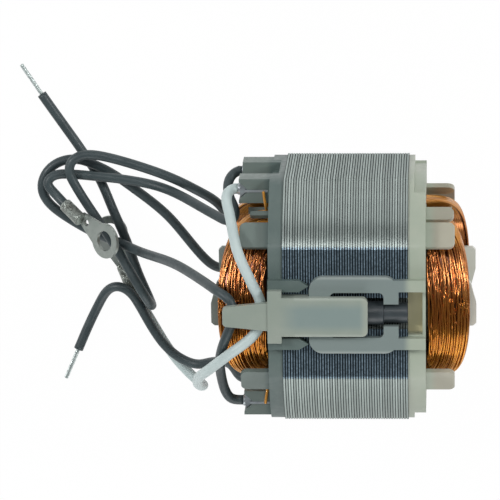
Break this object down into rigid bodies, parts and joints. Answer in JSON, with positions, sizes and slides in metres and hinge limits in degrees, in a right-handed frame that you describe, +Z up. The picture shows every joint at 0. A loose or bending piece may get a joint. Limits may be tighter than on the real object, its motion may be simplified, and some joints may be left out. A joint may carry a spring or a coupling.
{
  "type": "wound stator",
  "caption": "Wound stator of a commutator motor: laminated steel stack with copper field coils, moulded end insulators, a clip-on lead holder and leads with ring terminals and bare ends.",
  "frame": {"origin": "centre of the bore, halfway along the stack of sheets", "axes": "+X along the motor axis, from the lead end to the plain end; +Z up through the front pole; the part lies on its rear latch loop"},
  "size_m": [0.1186, 0.0859, 0.0685],
  "materials": {
    "sheet_steel": "dull blue-grey electrical sheet with bright edges",
    "grey_plastic": "matte grey moulding",
    "pale_plastic": "matte off-white moulding",
    "enamelled_copper": "glossy enamelled copper wire",
    "liner_paper": "smooth slot paper",
    "tinned_brass": "dull tinned sheet",
    "clear_plastic": "milky half-clear moulding",
    "sleeve_rubber": "black sleeve",
    "white_insulation": "white lead insulation",
    "dark_insulation": "black lead insulation",
    "tinned_strands": "tinned bare strands"
  },
  "bodies": {
    "root": {"lamination_stack": "sheet_steel", "lead_end_insulator": "grey_plastic", "plain_end_insulator": "pale_plastic", "front_coil": "enamelled_copper", "rear_coil": "enamelled_copper", "slot_liner_1": "liner_paper", "slot_liner_2": "liner_paper", "slot_liner_3": "liner_paper", "slot_liner_4": "liner_paper", "terminal_1": "tinned_brass", "terminal_2": "tinned_brass", "terminal_3": "tinned_brass", "terminal_4": "tinned_brass", "magnet_wire_end_1": "enamelled_copper", "magnet_wire_end_2": "enamelled_copper", "magnet_wire_end_3": "enamelled_copper", "magnet_wire_end_4": "enamelled_copper", "lead_holder": "clear_plastic", "black_sleeve": "sleeve_rubber", "white_brush_lead": "white_insulation", "white_lead_eye": "tinned_brass", "dark_brush_lead": "dark_insulation", "dark_lead_eye": "tinned_brass", "long_switch_lead": "dark_insulation", "long_lead_tip": "tinned_strands", "short_switch_lead": "dark_insulation", "short_lead_tip": "tinned_strands"}
  },
  "joints": []
}
